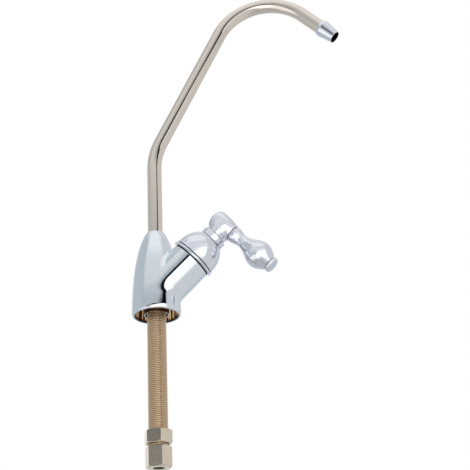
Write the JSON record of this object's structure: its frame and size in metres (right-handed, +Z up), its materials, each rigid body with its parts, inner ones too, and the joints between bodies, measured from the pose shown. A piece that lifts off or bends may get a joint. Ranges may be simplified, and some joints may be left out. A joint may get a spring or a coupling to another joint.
{
  "type": "reverse osmosis faucet",
  "caption": "Drinking-water faucet: bullet-shaped body, slanted quarter-turn valve with a lever, swivelling swan-neck spout, threaded shank with clamping nut and tube nut.",
  "frame": {"origin": "centre of the base rim's underside, on the shared axis of the shank and the spout's riser, where the deck's hole is", "axes": "+Z up along the riser; +X towards the spout's outlet and the valve; Y across"},
  "size_m": [0.138, 0.0294, 0.3053],
  "materials": {
    "chrome": "bright chrome plate, slightly cool",
    "spout_nickel": "polished tube, warmer than the body",
    "nut_nickel": "nickel plate, fine turning marks",
    "thread_brass": "thinly plated rolled thread, brown in its roots",
    "inner_brass": "plain machined brass",
    "spring_steel": "plain",
    "acetal": "moulded, matt",
    "rubber": "plain",
    "ceramic": "lapped, unglazed"
  },
  "bodies": {
    "base": {"body": "chrome", "shank": "thread_brass", "shank_seal": "rubber", "compression_nut": "nut_nickel", "compression_sleeve": "inner_brass", "cartridge_housing": "inner_brass", "seat_seal": "rubber", "cartridge_o_ring": "rubber", "fixed_ceramic_disc": "ceramic", "bonnet_ring": "chrome", "bonnet_dome": "chrome", "stem_collar": "chrome"},
    "spout": {"spout_tube": "spout_nickel", "outlet_tip": "chrome", "spout_spigot": "inner_brass", "spout_o_ring_lower": "rubber", "spout_o_ring_upper": "rubber", "spout_retaining_clip": "spring_steel", "spout_guide_ring": "acetal"},
    "handle": {"moving_ceramic_disc": "ceramic", "valve_stem": "inner_brass", "stem_o_ring": "rubber", "stem_clip": "spring_steel", "handle_hub": "chrome", "lever_stud": "inner_brass", "lever_ring": "chrome", "lever_grip": "chrome", "lever_end_knob": "chrome"},
    "clamping_nut": {"mounting_nut": "nut_nickel"}
  },
  "joints": [
    {"name": "spout_swivel", "type": "hinge", "parent": "base", "child": "spout", "pos_m": [0, 0, 0.0527], "axis": [0, 0, 1], "continuous": true},
    {"name": "handle_turn", "type": "hinge", "parent": "base", "child": "handle", "pos_m": [0.02133, 0, 0.03284], "axis": [0.7254, 0, 0.6884], "range_deg": [0, 90]},
    {"name": "clamping_nut_travel", "type": "slide", "parent": "base", "child": "clamping_nut", "axis": [0, 0, 1], "range_m": [0, 0.06]}
  ]
}
